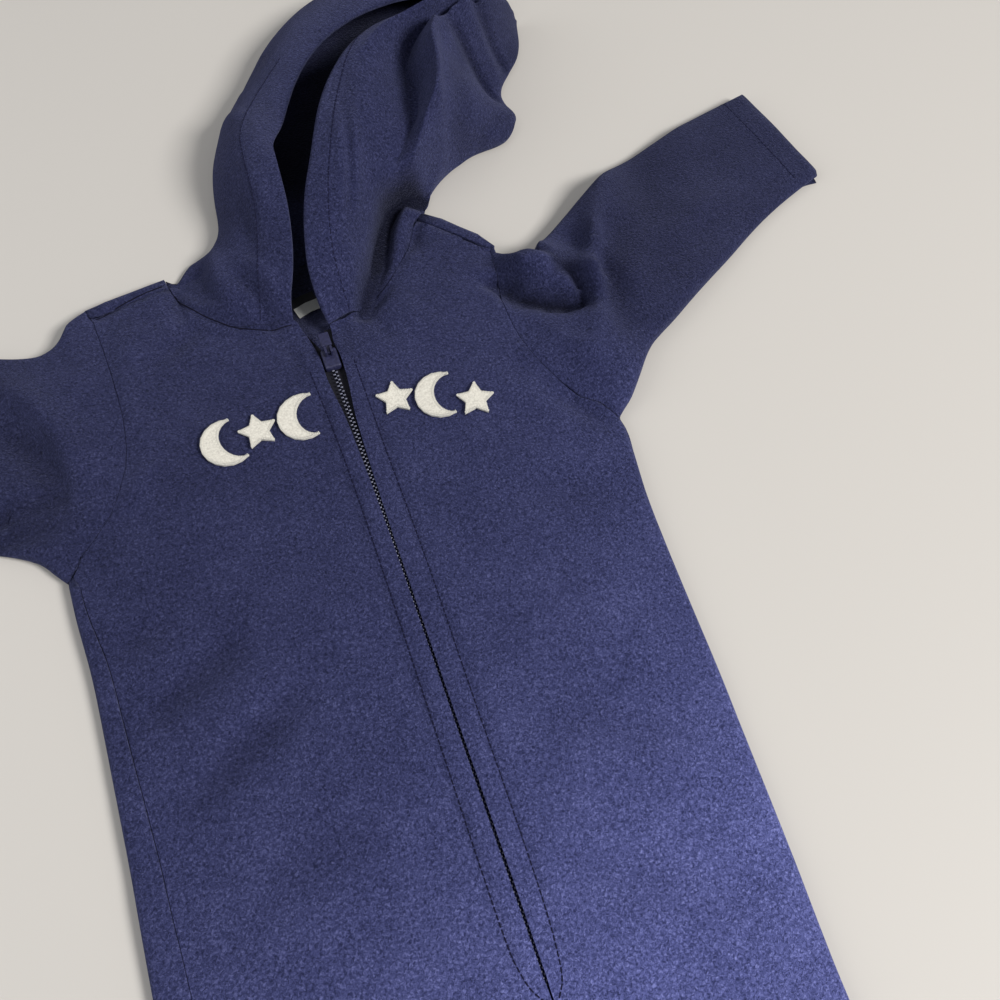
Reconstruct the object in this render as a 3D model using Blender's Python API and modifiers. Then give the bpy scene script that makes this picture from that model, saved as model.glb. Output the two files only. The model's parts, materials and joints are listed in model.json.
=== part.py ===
"""Hooded fleece onesie for a child of 12 to 18 months, laid flat on its back with the zip up.

The wearer's head points to +Y and the wearer's left to +X. The origin is on the floor under the
zip slider. All named sizes are in millimetres; MM turns them into metres.
"""

import math

import bmesh
import bpy
from mathutils import Vector
from mathutils.bvhtree import BVHTree

MM = 0.001

# Driving dimensions
WALL = 2.2              # fleece thickness
GAP = 0.35              # between the edges of two pieces that are sewn together
LAYER = 8.0             # height of the front panels' outer side over the floor
EDGE_R = 5.0            # how far a rolled edge reaches in
SEAM_Z = 3.9            # height of the seams that run along an edge
LIP = 0.7               # how far cloth stands straight at such a seam
EDGE_STEPS = 2          # steps in an edge's quarter turn
HEM_Y = -590.0          # leg hems
ZIP_END_Y = -334.0
SHOULDER_STRIP = 4.0    # how far the back comes forward past its fold at the shoulders
WRAP_HIGH = 8.2         # how high it stands where it is carried over an edge
WRAP_STEPS = 4
COLUMNS = 5             # even columns across half a body

# Half of the body: the edge next to the zip, neck or inseam, and the edge at the side or armhole.
# "edge" is 1 where the outer edge is a rolled silhouette and 0 where it ends flat at a seam.
# "inner" is 1 where the inner edge is a rolled silhouette, which is the inseam.
HALF_FIELDS = ("in_x", "in_y", "out_x", "out_y", "edge", "inner")
RIGHT_HALF = [
    (-36, HEM_Y, -139, HEM_Y, 1, 1),
    (-29, -545, -143, -545, 1, 1),
    (-23, -500, -147, -500, 1, 1),
    (-17, -450, -151, -450, 1, 1),
    (-11, -408, -155, -410, 1, 1),
    (-6, -388, -157, -388, 1, 1),
    (0, -376, -158, -364, 1, 0),
    (0, -334, -158, -326, 1, 0),
    (0, -285, -158, -278, 1, 0),
    (0, -235, -157, -228, 1, 0),
    (0, -185, -157, -178, 1, 0),
    (0, -140, -157, -130, 1, 0),
    (0, -104, -159, -84, 1, 0),
    (0, -76, -137, -62, 0, 0),
    (0, -50, -121, -37, 0, 0),
    (0, -22, -115, -8, 0, 0),
    (-5, 2, -115, 16, 0, 0),
    (-12, 27, -116, 34, 0, 0),
    (-36, 31, -117, 47, 0, 0),
    (-61, 45, -118, 57, 0, 0),
    (-74, 76, -119, 69, 0, 0),
]
LEFT_HALF = [
    (14, HEM_Y, 112, HEM_Y, 1, 1),
    (9, -545, 113, -545, 1, 1),
    (5, -500, 115, -500, 1, 1),
    (2, -450, 117, -450, 1, 1),
    (-1, -408, 119, -410, 1, 1),
    (-3, -388, 120, -388, 1, 1),
    (0, -376, 121, -364, 1, 0),
    (0, -334, 124, -326, 1, 0),
    (0, -285, 127, -278, 1, 0),
    (0, -235, 130, -228, 1, 0),
    (0, -185, 132, -178, 1, 0),
    (0, -140, 135, -130, 1, 0),
    (0, -104, 140, -84, 1, 0),
    (0, -76, 122, -66, 0, 0),
    (0, -50, 108, -36, 0, 0),
    (0, -22, 104, -12, 0, 0),
    (5, 2, 104, 6, 0, 0),
    (6, 20, 106, 17, 0, 0),
    (30, 28, 107, 28, 0, 0),
    (62, 55, 109, 37, 0, 0),
    (75, 80, 110, 45, 0, 0),
]
UNDERARM_ROW = 12
CROTCH_ROW = 6
NECK_ROW = 16           # where the back's rows leave the front's for the back neck

# The back's top edge: the middle of the neck, its side, and the tip of the shoulder.
BACK_TOP = {
    -1: ((0, 72.5), (-75, 81.5), (-121, 74)),
    1: ((0, 72.5), (79.5, 83.5), (113.5, 48.5)),
}
NECK_COLUMN = 6         # the column that ends at the side of the neck

# Where the side seam lies on top at the wearer's right: its distance in from the silhouette.
SIDE_SEAM_IN = [(-590, 12), (-400, 16), (-287, 17), (-185, 12), (-127, 9), (-84, 6)]

# How far each front's edge stands off the middle of the zip.
ZIP_OPEN = [(-376, 0.4), (-300, 0.5), (-272, 1.5), (-244, 2.0), (-222, 0.6), (-118, 0.6), (-88, 1.6),
            (-40, 3.0), (-16, 5.4), (10, 5.6)]

# Soft folds of the body: a line, how high it stands (or lies, below 0) and how wide it is.
FOLD_FIELDS = ("x0", "y0", "x1", "y1", "high", "wide")
BODY_FOLDS = [
    (-9, 0, -9, -330, 1.6, 8),
    (10, 0, 10, -330, 1.8, 8),
    (-128, -160, -70, -85, -1.2, 22),
    (-120, -240, -50, -165, -1.3, 22),
    (-60, -230, -20, -330, 1.3, 26),
    (100, -330, 60, -180, 1.2, 28),
    (112, -190, 86, -60, -1.2, 20),
    (60, -110, 90, 10, 1.2, 26),
    (-70, -100, -95, 40, 1.2, 26),
    (-110, -420, -70, -560, 1.3, 22),
    (60, -410, 80, -560, 1.3, 22),
]

# Sleeves: the upper and lower silhouette at each section, from the armhole to the cuff, how far
# the section still bows like the armhole, and the height of its top side.
SLEEVE_FIELDS = ("up_x", "up_y", "low_x", "low_y", "bow", "high")
RIGHT_SLEEVE = [
    (-121, 76, -161, -84, 1.0, 9.5),
    (-131, 73, -164, -78, 0.9, 10),
    (-138, 60, -170, -69, 0.7, 10.5),
    (-150, 54, -184, -60, 0.45, 10),
    (-168, 59, -203, -50, 0.25, 9.5),
    (-192, 68, -226, -37, 0.1, 9.5),
    (-220, 78, -250, -22, 0, 9),
    (-248, 88, -275, -6, 0, 9),
    (-276, 99, -299, 11, 0, 8.5),
    (-306, 111, -324, 29, 0, 8.5),
]
LEFT_SLEEVE = [
    (114.5, 46, 141, -84, 1.0, 10),
    (118, 37, 150, -76, 0.85, 14),
    (127, 28, 162, -62, 0.6, 16),
    (138, 38, 175, -47, 0.4, 14),
    (156, 51, 194, -36, 0.15, 14),
    (180, 68, 219, -20, 0, 14),
    (204, 82, 246, -4, 0, 11),
    (232, 93, 271, 12, 0, 9),
    (268, 106, 298, 26, 0, 8.5),
    (310, 116, 327, 38, 0, 8.5),
]
LEFT_SLEEVE_FOLDS = [
    (118, 22, 146, 14, 9, 9),
    (132, 33, 146, 4, 8, 8),
    (108, 2, 152, -20, -5, 7),
    (194, 74, 172, 10, 8, 9),
    (172, 10, 140, -48, 7, 9),
    (205, 30, 250, 40, 2, 14),
]
RIGHT_SLEEVE_FOLDS = [
    (-135, 20, -196, 22, 3, 16),
    (-132, -22, -200, -12, 2.5, 14),
    (-150, 2, -215, 6, -2.5, 9),
]

# The neck seam on the front, from the zip to the shoulder.
NECK_RIGHT = [(-12, 28), (-24, 29), (-37, 32), (-51, 38), (-64, 49), (-71, 62), (-75, 78)]
NECK_LEFT = [(6, 21), (16, 26), (30, 28), (44, 36), (55, 47), (64, 59), (75, 81)]

# The hood in sections that fan out from the neck to the top of the face opening.
# cast: the silhouette on the wearer's right. rim_r, rim_l: the two rims. edge: the silhouette on
# the wearer's left. seam: where the centre seam lies underneath.
HOOD_FIELDS = (
    "cast_x", "cast_y", "rim_r_x", "rim_r_y", "rim_r_z", "rim_l_x", "rim_l_y", "rim_l_z",
    "edge_x", "edge_y", "seam_x", "seam_y",
)
HOOD = [
    (-75, 83, -11, 30, 13, 4, 24, 13, 77, 86, 0, 73),
    (-64, 90, -11, 38, 20, 3, 34, 22, 82, 91, 24, 84),
    (-46, 99, -6, 50, 28, 3, 46, 31, 88, 95, 48, 95),
    (-38, 114, -1, 66, 35, 6, 62, 39, 94, 102, 74, 106),
    (-36, 133, 3, 88, 42, 13, 84, 46, 106, 112, 96, 108),
    (-31, 160, 5, 112, 46, 24, 108, 52, 128, 123, 124, 121),
    (-19, 187, 7, 130, 44, 34, 130, 56, 151, 126, 149, 129),
    (-2, 213, 17, 150, 38, 44, 148, 58, 163, 143, 161, 145),
    (15, 237, 27, 171, 37, 56, 164, 60, 160, 163, 158, 164),
    (36, 262, 42, 194, 38, 74, 180, 60, 170, 179, 168, 180),
    (66, 283, 66, 216, 38, 96, 191, 59, 182, 192, 180, 193),
    (102, 292, 97, 231, 36, 124, 197, 56, 188, 203, 186, 204),
    (140, 286, 132, 238, 32, 150, 206, 48, 191, 212, 189, 213),
    (172, 266, 162, 238, 25, 171, 216, 37, 193, 220, 191, 221),
    (190, 244, 182, 235, 17, 184, 225, 22, 195, 227, 193, 228),
]
# The side panel on the wearer's left between rim and silhouette: a crest behind the rim, a
# valley and a ridge, each at a share of the way across and at a height.
PANEL_FIELDS = ("crest_at", "crest", "valley_at", "valley", "ridge_at", "ridge")
PANEL = [
    (0.16, 13, 0.50, 10, 0.70, 10),
    (0.26, 27, 0.52, 13, 0.72, 13),
    (0.24, 37, 0.54, 18, 0.76, 19),
    (0.22, 45, 0.60, 24, 0.80, 28),
    (0.20, 51, 0.62, 32, 0.78, 41),
    (0.18, 57, 0.56, 38, 0.70, 50),
    (0.16, 60, 0.50, 40, 0.61, 56),
    (0.16, 62, 0.46, 41, 0.57, 59),
    (0.16, 64, 0.40, 42, 0.56, 61),
    (0.14, 64, 0.34, 44, 0.52, 60),
    (0.14, 62, 0.32, 46, 0.48, 57),
    (0.16, 58, 0.36, 48, 0.52, 52),
    (0.18, 49, 0.40, 43, 0.56, 40),
    (0.20, 38, 0.42, 34, 0.60, 28),
    (0.22, 22, 0.44, 20, 0.62, 16),
]
HOOD_STEPS = 2          # sections made between two rows of the table
HOOD_EDGE_Z = 4.0       # height of the hood's silhouettes
HOOD_ROLL = 5.0         # how far in the hood leaves the floor at its right silhouette
SEAM_IN = 7.0           # least distance of the centre seam in from the silhouette
NECK_FADE = (1.0, 0.72, 0.46, 0.2, 0.0)     # how much each section bows like the neck seam

# Zip, label and motif
TAPE_WIDE = 13.0
TAPE_THICK = 1.0
TAPE_Z = 5.6
SLIDER_Z = 6.0            # underside of the slider
SLIDER_LONG = 13.0
SLIDER_WIDE = 9.0
SLIDER_THICK = 4.4
TAB_LONG = 9.0
TAB_WIDE = 6.0
TAB_THICK = 1.3
TAB_START = 3.8           # from the hinge to the wide part of the tab, which clears the ears
EAR_SIZE = (1.4, 4.4, 5.2)     # the two ears that hold the tab's stem between them
EAR_X = 1.6
STEM_SIZE = (1.6, 6.8)
STEM_BACK = 1.4           # how far the stem reaches past the hinge
HINGE_Y = 3.0
HINGE_Z = 12.2
LABEL_AT = (-3, 44.5)
LABEL_SIZE = (15, 13)
LABEL_TURN = math.radians(14)
FELT_THICK = 1.5
FELT_LIFT = 0.5
MOTIF_FIELDS = ("kind", "x", "y", "turn")
MOTIF = [
    ("moon", -66, -34, 12),
    ("star", -49, -32, 4),
    ("moon", -24, -31, -4),
    ("star", 26, -36, -6),
    ("moon", 50, -42, -8),
    ("star", 67, -51, -14),
]
STAR_R = 10.8
MOON_R = 14.0
MOON_TIP = math.radians(62)
MOON_HOLLOW = 10.3
MOON_STEPS = 12

COLOURS = {
    "navy_fleece": (0.030, 0.034, 0.105, 1),
    "zip_tape": (0.015, 0.017, 0.045, 1),
    "zip_plastic": (0.020, 0.024, 0.070, 1),
    "cream_felt": (0.78, 0.74, 0.64, 1),
    "label_cloth": (0.70, 0.70, 0.68, 1),
}


def row_dict(fields, row):
    return dict(zip(fields, row))


def mix(a, b, t):
    return a + (b - a) * t


def catmull(values, t):
    """A value on a smooth curve through a list of numbers; t runs from 0 to len - 1."""
    last = len(values) - 1
    i = min(int(t), last - 1)
    s = t - i
    p0, p1 = values[max(i - 1, 0)], values[i]
    p2, p3 = values[i + 1], values[min(i + 2, last)]
    slope_1, slope_2 = (p2 - p0) / 2, (p3 - p1) / 2
    return (
        (2 * s**3 - 3 * s**2 + 1) * p1 + (s**3 - 2 * s**2 + s) * slope_1
        + (3 * s**2 - 2 * s**3) * p2 + (s**3 - s**2) * slope_2
    )


def smooth_rows(fields, table, steps):
    """The table's rows with steps - 1 more between each two, as dictionaries."""
    columns = list(zip(*table))
    count = (len(table) - 1) * steps
    return [
        {name: catmull(column, i / steps) for name, column in zip(fields, columns)}
        for i in range(count + 1)
    ]


def along(points, share):
    """The point at a share of the number of steps along a list of (x, y)."""
    t = share * (len(points) - 1)
    return Vector((catmull([p[0] for p in points], t), catmull([p[1] for p in points], t)))


def table_value(pairs, at):
    """Straight-line lookup in (place, value) pairs sorted by place."""
    for (a, va), (b, vb) in zip(pairs, pairs[1:]):
        if at <= b:
            return mix(va, vb, max(0.0, (at - a) / (b - a)))
    return pairs[-1][1]


def fold_height(folds, x, y):
    """How far the folds lift a point: each is a soft ridge that dies out at its ends."""
    total = 0.0
    for row in folds:
        f = row_dict(FOLD_FIELDS, row)
        dx, dy = f["x1"] - f["x0"], f["y1"] - f["y0"]
        long = math.hypot(dx, dy)
        t = ((x - f["x0"]) * dx + (y - f["y0"]) * dy) / long**2
        aside = ((x - f["x0"]) * dy - (y - f["y0"]) * dx) / long
        past = max(0.0, -t, t - 1) * long
        total += f["high"] * math.exp(-(aside**2 + past**2) / f["wide"] ** 2)
    return total


def front_height(x, y):
    return LAYER + 0.6 * math.sin(x / 31 + y / 47) + fold_height(BODY_FOLDS, x, y)


def edge_places(rolled):
    """Distances in from an edge: its lip, then a quarter turn. A flat edge has its lip flat."""
    turns = [math.radians(90) * i / EDGE_STEPS for i in range(EDGE_STEPS + 1)]
    arc = [EDGE_R * (1 - math.cos(a)) for a in turns]
    return [0.0, LIP * (1 - rolled)] + [max(a, 1.6 * LIP * (1 - rolled)) for a in arc[1:]]


def cross_places(width, rolled_in, rolled_out):
    """Distances across a row, close together at both of its edges."""
    near, far = edge_places(rolled_in), edge_places(rolled_out)
    even = [mix(near[-1], width - far[-1], i / COLUMNS) for i in range(1, COLUMNS)]
    return near + even + [width - d for d in reversed(far)]


def roll(distance, rolled, is_lip):
    """How high a point lies between an edge's seam, 0, and the flat cloth, 1, and its lip."""
    if is_lip:
        return 1 - rolled, 0.0
    inward = min(max(distance / EDGE_R, 0.0), 1.0)
    return 1 - rolled * (1 - math.sqrt(1 - (1 - inward) ** 2)), LIP


def level(seam, flat, distance, rolled, is_lip):
    """The height of a point near an edge that rolls from the flat cloth to its seam."""
    share, lip = roll(distance, rolled, is_lip)
    start = seam + math.copysign(lip, flat - seam)
    return mix(start, flat, share)


def half_rows(table, side, top):
    """The grid of half a body panel; side is -1 at the wearer's right and 1 at the left."""
    grid = []
    for n, row in enumerate(smooth_rows(HALF_FIELDS, table, 2)):
        inner = Vector((row["in_x"], row["in_y"]))
        outer = Vector((row["out_x"], row["out_y"]))
        below_arm = n <= 2 * UNDERARM_ROW
        if top and side < 0 and below_arm:
            outer.x += table_value(SIDE_SEAM_IN, outer.y)
        if not top and side < 0 and below_arm:
            outer.x += WRAP_HIGH / 2
        if n >= 2 * CROTCH_ROW and not top:
            inner.x = 0.0
        elif n >= 2 * CROTCH_ROW and inner.y < ZIP_OPEN[-1][0]:
            inner.x = side * table_value(ZIP_OPEN, inner.y)
        elif top:
            inner.x += side * GAP
        outer.x -= side * GAP
        rolled_out = min(row["edge"], 1.0) if side > 0 and below_arm else 0.0
        rolled_in = min(row["inner"], 1.0) if n < 2 * CROTCH_ROW else 0.0
        width = (outer - inner).length
        places = cross_places(width, rolled_in, rolled_out)
        line = []
        for k, place in enumerate(places):
            p = inner.lerp(outer, place / width)
            flat = front_height(p.x, p.y) if top else 0.0
            seam = SEAM_Z + GAP * (4 if n == 2 * UNDERARM_ROW else 1) if top else SEAM_Z
            if place < width / 2:
                z = level(seam, flat, place, rolled_in, k == 0)
            else:
                z = level(seam, flat, width - place, rolled_out, k == len(places) - 1)
            line.append(Vector((p.x, p.y, z)))
        grid.append(line)
    return grid


def back_rows(table, side):
    """Half of the back: like a front, but carried up to the back neck."""
    grid = half_rows(table, side, False)
    middle, neck, tip = (Vector(p) for p in BACK_TOP[side])
    first, last = 2 * NECK_ROW, len(grid) - 1
    base = grid[first][0].y
    for n in range(first + 1, last + 1):
        t = (n - first) / (last - first)
        line = grid[n]
        start, end = line[0].copy(), line[-1].copy()
        shares = [(p - start).length / (end - start).length for p in line]
        inner = Vector((0.0, mix(base, middle.y, t)))
        for k, share in enumerate(shares):
            if k <= NECK_COLUMN:
                crown = middle.lerp(neck, share / shares[NECK_COLUMN])
            else:
                past = (share - shares[NECK_COLUMN]) / (1 - shares[NECK_COLUMN])
                crown = neck.lerp(tip, past)
            off = crown - middle.lerp(tip, share)
            p = inner.lerp(end.to_2d().lerp(tip, t**4), share) + off * t
            line[k] = Vector((p.x, p.y, line[k].z))
    return grid


def add_grid(mesh, grid, flip=False):
    """Adds a grid of points to a bmesh as quads, facing up unless flipped."""
    rows = [[mesh.verts.new(p * MM) for p in line] for line in grid]
    for a, b in zip(rows, rows[1:]):
        for k in range(len(a) - 1):
            quad = (a[k], a[k + 1], b[k + 1], b[k])
            mesh.faces.new(quad[::-1] if flip else quad)
    return rows


def material(name):
    found = bpy.data.materials.get(name)
    if found:
        return found
    made = bpy.data.materials.new(name)
    made.use_nodes = True
    shader = made.node_tree.nodes["Principled BSDF"]
    shader.inputs["Base Color"].default_value = COLOURS[name]
    shader.inputs["Roughness"].default_value = 0.55 if name == "zip_plastic" else 0.95
    return made


def add_object(name, mesh, colour, wall=None, outward=False):
    """Makes an object of a bmesh, with a wall where it is an open sheet."""
    bmesh.ops.remove_doubles(mesh, verts=mesh.verts, dist=0.00001)
    data = bpy.data.meshes.new(name)
    mesh.to_mesh(data)
    mesh.free()
    made = bpy.data.objects.new(name, data)
    made.data.materials.append(material(colour))
    COLLECTION.objects.link(made)
    data.shade_smooth()
    if wall:
        solid = made.modifiers.new("Wall", "SOLIDIFY")
        solid.thickness = wall * MM
        solid.offset = 1.0 if outward else -1.0
    return made


def front(name, table, side):
    mesh = bmesh.new()
    add_grid(mesh, half_rows(table, side, True), flip=side < 0)
    return add_object(name, mesh, "navy_fleece", WALL)


def wrap_lines(edge_points, inward, strip):
    """Lines of points that carry an edge round a half turn and on over the top by a strip."""
    radius = WRAP_HIGH / 2
    lines = []
    for i in range(1, WRAP_STEPS + 1):
        turn = math.pi * i / WRAP_STEPS
        out, up = radius * math.sin(turn), radius * (1 - math.cos(turn))
        lines.append([p - inward * out + Vector((0, 0, up)) for p in edge_points])
    for share in (0.5, 1.0):
        lines.append([
            p + inward * wide * share + Vector((0, 0, WRAP_HIGH))
            for p, wide in zip(edge_points, strip)
        ])
    return lines


def back():
    """The back in one piece, carried over the wearer's right side and over the shoulders."""
    mesh = bmesh.new()
    right = back_rows(RIGHT_HALF, -1)
    left = back_rows(LEFT_HALF, 1)
    add_grid(mesh, left, flip=True)
    add_grid(mesh, right)
    edge = [line[-1] for line in right[: 2 * UNDERARM_ROW + 1]]
    strip = [table_value(SIDE_SEAM_IN, p.y) - WRAP_HIGH / 2 - GAP for p in edge]
    add_grid(mesh, [edge] + wrap_lines(edge, Vector((1, 0, 0)), strip), flip=True)
    for rows, side in ((right, -1), (left, 1)):
        fold = rows[-1][NECK_COLUMN:]
        across = (fold[-1] - fold[0]).normalized()
        inward = Vector((across.y, -across.x, 0)) * side
        strip = [SHOULDER_STRIP] * len(fold)
        add_grid(mesh, [fold] + wrap_lines(fold, inward, strip), flip=side > 0)
    return add_object("back", mesh, "navy_fleece", WALL)


def sleeve_line(table_row, armhole, share):
    """A point across a sleeve section in plan, bowed as the armhole is near the body."""
    upper = Vector((table_row["up_x"], table_row["up_y"]))
    lower = Vector((table_row["low_x"], table_row["low_y"]))
    start, end = Vector(armhole[0]), Vector(armhole[-1])
    bow = along(armhole, share) - start.lerp(end, share)
    return upper.lerp(lower, share) + bow * table_row["bow"]


def sleeve(name, table, half, folds, side):
    """A flattened tube of rings from the armhole to the open cuff."""
    armhole = [(row[2], row[3]) for row in reversed(half[UNDERARM_ROW:])]
    mesh = bmesh.new()
    rings = []
    for row in smooth_rows(SLEEVE_FIELDS, table, 2):
        width = math.hypot(row["up_x"] - row["low_x"], row["up_y"] - row["low_y"])
        tops, bottoms = [], []
        for place in cross_places(width, 1, 1)[1:-1]:
            p = sleeve_line(row, armhole, place / width)
            p.x += side * GAP
            inward = min(place, width - place)
            share = roll(inward, 1, False)[0]
            high = row["high"] + fold_height(folds, p.x, p.y)
            middle = row["high"] / 2
            tops.append(Vector((p.x, p.y, mix(middle, max(high, LAYER), share))))
            bottoms.append(Vector((p.x, p.y, mix(middle, 0.0, share))))
        rings.append(tops + bottoms[-2:0:-1])
    verts = [[mesh.verts.new(p * MM) for p in ring] for ring in rings]
    for a, b in zip(verts, verts[1:]):
        for k in range(len(a)):
            n = (k + 1) % len(a)
            quad = (a[k], a[n], b[n], b[k])
            mesh.faces.new(quad if side > 0 else quad[::-1])
    return add_object(name, mesh, "navy_fleece", WALL)


def hood_sections():
    """The hood's sections, each with its silhouette, its seam and the way inward there."""
    rows = smooth_rows(HOOD_FIELDS, HOOD, HOOD_STEPS)
    panels = smooth_rows(PANEL_FIELDS, PANEL, HOOD_STEPS)
    edges = [Vector((row["edge_x"], row["edge_y"])) for row in rows]
    for n, row in enumerate(rows):
        along_edge = edges[min(n + 1, len(rows) - 1)] - edges[max(n - 1, 0)]
        row["edge"] = edges[n]
        row["way"] = Vector((-along_edge.y, along_edge.x)).normalized()
        seam = Vector((row["seam_x"], row["seam_y"]))
        near = (seam - edges[n]).length < 2 * SEAM_IN
        row["seam"] = edges[n] + row["way"] * SEAM_IN if near else seam
    return list(zip(rows, panels))


def neck_bow(neck, share, fade):
    """How far the neck seam lies off the straight line between its ends, fading upward."""
    straight = Vector(neck[0]).lerp(Vector(neck[-1]), share)
    return (along(neck, share) - straight) * fade


def across_knots(knots, parts):
    """Shares and heights between (share, height) knots, eased from each to the next."""
    found = []
    for (a, za), (b, zb), count in zip(knots, knots[1:], parts):
        for i in range(count):
            ease = (1 - math.cos(math.pi * i / count)) / 2
            found.append((mix(a, b, i / count), mix(za, zb, ease)))
    return found + [knots[-1]]


def hood_left():
    """The side panel on top: rim, crest, valley, ridge, silhouette and under to the seam."""
    mesh = bmesh.new()
    grid = []
    for n, (row, panel) in enumerate(hood_sections()):
        rim = Vector((row["rim_l_x"], row["rim_l_y"]))
        edge, seam, way = row["edge"], row["seam"], row["way"]
        knots = [
            (0.0, row["rim_l_z"]), (panel["crest_at"], panel["crest"]),
            (panel["valley_at"], panel["valley"]), (panel["ridge_at"], panel["ridge"]),
            (1.0, HOOD_EDGE_Z + 2.0),
        ]
        line = []
        for share, z in across_knots(knots, (1, 3, 2, 3)):
            p = rim.lerp(edge, share) + neck_bow(NECK_LEFT, share, NECK_FADE[min(n, 4)])
            line.append(Vector((p.x, p.y, z)))
        for inward, z in ((0.2, HOOD_EDGE_Z), (1.4, 1.3), (3.6, 0.0)):
            p = edge + way * inward
            line.append(Vector((p.x, p.y, z)))
        last = seam + (edge - seam).normalized() * GAP
        line.append(Vector((last.x, last.y, 0.0)))
        grid.append(line)
    add_grid(mesh, grid)
    return add_object("hood_left", mesh, "navy_fleece", WALL)


def hood_right():
    """The side panel underneath: from the seam along the floor, round and over to its rim."""
    mesh = bmesh.new()
    grid = []
    for n, (row, _) in enumerate(hood_sections()):
        rim = Vector((row["rim_r_x"], row["rim_r_y"]))
        cast = Vector((row["cast_x"], row["cast_y"]))
        start = row["seam"] + (cast - row["seam"]).normalized() * GAP
        inner = cast + (start - cast).normalized() * HOOD_ROLL
        line = []
        for i in range(5):
            p = start.lerp(inner, i / 4)
            line.append(Vector((p.x, p.y, 0.0)))
        outward = (cast - rim).normalized()
        turn = cast - outward * 1.2
        line.append(Vector((turn.x, turn.y, 1.5)))
        tall = row["rim_r_z"] - HOOD_EDGE_Z
        for share, rise in ((0.0, 0.0), (0.09, 0.3), (0.27, 0.62), (0.5, 0.88), (0.76, 1.02), (1, 1)):
            p = cast.lerp(rim, share) + neck_bow(NECK_RIGHT, 1 - share, NECK_FADE[min(n, 4)])
            line.append(Vector((p.x, p.y, HOOD_EDGE_Z + tall * rise)))
        grid.append(line)
    add_grid(mesh, grid)
    return add_object("hood_right", mesh, "navy_fleece", WALL)


def zip_tape(name, side):
    """A flat tape under the zip edge, which opens out above the slider."""
    mesh = bmesh.new()
    grid = []
    for y in [ZIP_END_Y - 6 + i * (340.0 / 20) for i in range(20)] + [6, 14, 22]:
        spread = 0.9 + max(0.0, y - 4) * (0.42 if side < 0 else 0.06)
        near = side * spread
        grid.append([Vector((near, y, TAPE_Z)), Vector((near + side * TAPE_WIDE, y, TAPE_Z - 0.6))])
    add_grid(mesh, grid, flip=side < 0)
    return add_object(name, mesh, "zip_tape", TAPE_THICK)


def box(name, size, at, colour, bevel):
    bpy.ops.mesh.primitive_cube_add(size=1)
    made = bpy.context.object
    made.name = name
    for v in made.data.vertices:
        v.co = Vector((v.co.x * size[0], v.co.y * size[1], v.co.z * size[2])) * MM
    made.location = Vector(at) * MM
    made.data.materials.append(material(colour))
    for old in list(made.users_collection):
        old.objects.unlink(made)
    COLLECTION.objects.link(made)
    edge = made.modifiers.new("Edge", "BEVEL")
    edge.width = bevel * MM
    edge.segments = 2
    return made


def unite(base, other):
    """Joins another solid to the base with a Boolean and hides it."""
    join = base.modifiers.new("Join", "BOOLEAN")
    join.operation = "UNION"
    join.object = other
    other.hide_render = True
    other.display_type = "WIRE"
    COLLECTION.objects.unlink(other)
    CUTTERS.objects.link(other)


def zip_slider():
    body = box("zip_slider", (SLIDER_WIDE, SLIDER_LONG, SLIDER_THICK),
               (0, 0, SLIDER_Z + SLIDER_THICK / 2), "zip_plastic", 1.2)
    for dx in (-1, 1):
        ear = box("slider_ear", EAR_SIZE, (dx * EAR_X, HINGE_Y, HINGE_Z), "zip_plastic", 0.4)
        unite(body, ear)
    return body


def pull_tab():
    """The tab, whose own origin is on its hinge."""
    tab = box("pull_tab", (TAB_WIDE, TAB_LONG, TAB_THICK), (0, 0, 0), "zip_plastic", 0.5)
    for v in tab.data.vertices:
        v.co.y += (TAB_LONG / 2 + TAB_START) * MM
    tab.location = Vector((0, HINGE_Y, HINGE_Z)) * MM
    stem_y = HINGE_Y + STEM_SIZE[1] / 2 - STEM_BACK
    stem = box("tab_stem", (*STEM_SIZE, TAB_THICK), (0, stem_y, HINGE_Z), "zip_plastic", 0.4)
    unite(tab, stem)
    return tab


def neck_label():
    mesh = bmesh.new()
    wide, high = LABEL_SIZE
    grid = []
    for j in range(4):
        line = []
        for i in range(5):
            u, v = (i / 4 - 0.5) * wide, (j / 3 - 0.5) * high
            x = LABEL_AT[0] + u * math.cos(LABEL_TURN) - v * math.sin(LABEL_TURN)
            y = LABEL_AT[1] + u * math.sin(LABEL_TURN) + v * math.cos(LABEL_TURN)
            line.append(Vector((x, y, WALL + 0.5 + 0.5 * (1 - math.cos(math.pi * i / 2)))))
        grid.append(line)
    add_grid(mesh, grid)
    return add_object("neck_label", mesh, "label_cloth", 0.5, outward=True)


def star_outline():
    points = []
    for i in range(10):
        radius = STAR_R if i % 2 == 0 else STAR_R * 0.52
        turn = math.radians(90 + 36 * i)
        points.append((radius * math.cos(turn), radius * math.sin(turn)))
    return points


def star_rings():
    """A star as its outline and its middle, row by row."""
    outline = star_outline()
    return [outline + outline[:1], [(0.0, 0.0)] * (len(outline) + 1)]


def moon_rings():
    """A crescent between an outer arc and the shallower arc of its hollow, tip to tip."""
    tip_x = MOON_R * math.cos(MOON_TIP)
    tip_y = MOON_R * math.sin(MOON_TIP)
    outer, hollow = [], []
    for i in range(MOON_STEPS + 1):
        turn = mix(MOON_TIP, 2 * math.pi - MOON_TIP, i / MOON_STEPS)
        outer.append((MOON_R * math.cos(turn), MOON_R * math.sin(turn)))
        bend = mix(math.pi / 2, -math.pi / 2, i / MOON_STEPS)
        hollow.append((tip_x - MOON_HOLLOW * math.cos(bend), tip_y * math.sin(bend)))
    return [outer, hollow]


def surface_of(made):
    """A search tree of an object's own faces, before its modifiers."""
    points = [v.co.copy() for v in made.data.vertices]
    return BVHTree.FromPolygons(points, [list(f.vertices) for f in made.data.polygons])


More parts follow.
